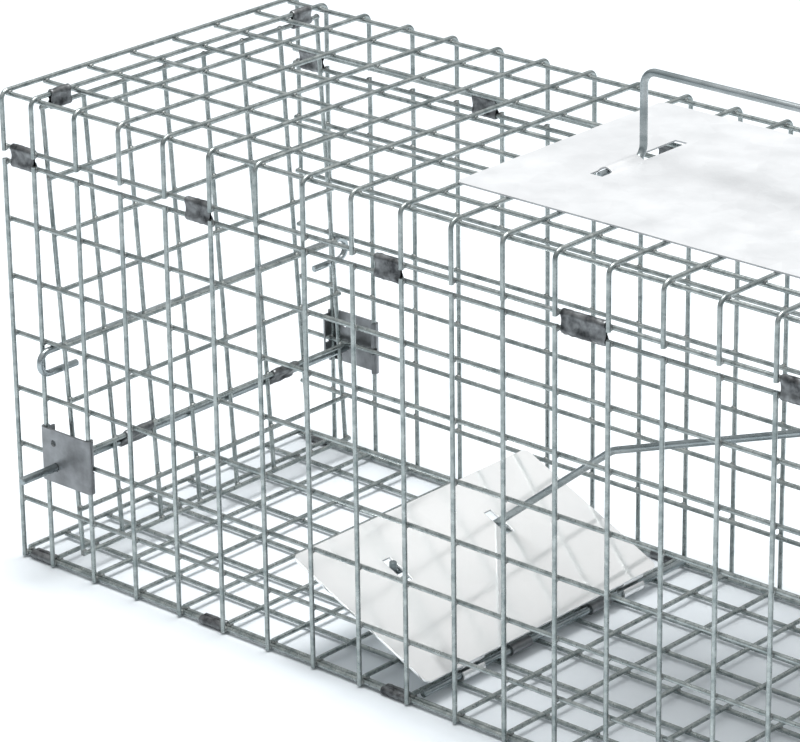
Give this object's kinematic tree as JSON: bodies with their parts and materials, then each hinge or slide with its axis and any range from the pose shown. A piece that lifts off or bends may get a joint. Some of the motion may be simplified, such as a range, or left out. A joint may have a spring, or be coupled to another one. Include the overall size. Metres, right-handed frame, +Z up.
{
  "type": "live catch trap",
  "caption": "Welded wire box trap that catches an animal unharmed: tread plate, trigger rod, front door that drops, rear bait door, hand guard and carry handle.",
  "frame": {"origin": "middle of the overall box, on the ground the trap stands on", "axes": "+X along the cage towards the mouth with the drop door, +Y across the cage away from the side the lock rod is drawn out of, +Z up"},
  "size_m": [0.6212, 0.2066, 0.2488],
  "materials": {
    "mesh_wire": "galvanised welded wire",
    "rod_steel": "zinc plated rod",
    "sheet_steel": "galvanised sheet, light and dull",
    "clip_steel": "crimped galvanised strip"
  },
  "bodies": {
    "cage": {"floor_mesh": "mesh_wire", "near_side_mesh": "mesh_wire", "far_side_mesh": "mesh_wire", "cover_top_mesh": "mesh_wire", "cover_near_flange": "mesh_wire", "cover_far_flange": "mesh_wire", "seam_clips": "clip_steel", "seam_middle_clips": "clip_steel", "floor_clips": "clip_steel", "guard_plate": "sheet_steel", "carry_handle": "rod_steel", "rear_hinge_clips": "clip_steel", "rear_stop_rod": "rod_steel", "near_lock_plate": "sheet_steel", "far_lock_plate": "sheet_steel", "front_hinge_rod": "rod_steel", "front_hinge_clips": "clip_steel", "front_sill": "sheet_steel", "spring_anchors": "rod_steel", "tread_pivot_rod": "rod_steel", "tread_pivot_straps": "clip_steel", "trigger_hanger": "rod_steel"},
    "rear_door": {"rear_door_mesh": "mesh_wire", "rear_door_clips": "clip_steel"},
    "lock_rod": {"rear_lock_rod": "rod_steel"},
    "front_door": {"front_door_sheet": "sheet_steel", "door_springs": "rod_steel"},
    "tread": {"tread_plate": "sheet_steel", "tread_hinges": "sheet_steel"},
    "trigger": {"trigger_rod": "rod_steel"}
  },
  "joints": [
    {"name": "front_door_hinge", "type": "hinge", "parent": "cage", "child": "front_door", "pos_m": [0.2921, 0.00765, 0.2036], "axis": [0, 1, 0], "range_deg": [0, 78], "stiffness_Nm_per_rad": 0.05, "springref_deg": -57.3},
    {"name": "rear_door_hinge", "type": "hinge", "parent": "cage", "child": "rear_door", "pos_m": [-0.2921, 0.00765, 0.2054], "axis": [0, -1, 0], "range_deg": [0, 76]},
    {"name": "lock_rod_slide", "type": "slide", "parent": "cage", "child": "lock_rod", "axis": [0, -1, 0], "range_m": [0, 0.2]},
    {"name": "tread_hinge", "type": "hinge", "parent": "cage", "child": "tread", "pos_m": [-0.0845, 0.00765, 0.00465], "axis": [0, -1, 0], "range_deg": [0, 20]},
    {"name": "trigger_pivot", "type": "hinge", "parent": "tread", "child": "trigger", "pos_m": [-0.1322, 0.00765, 0.031], "axis": [0, -1, 0], "range_deg": [-17, 0]}
  ],
  "couplings": [
    {"joint": "trigger_pivot", "follows": "tread_hinge", "ratio": -0.815}
  ]
}
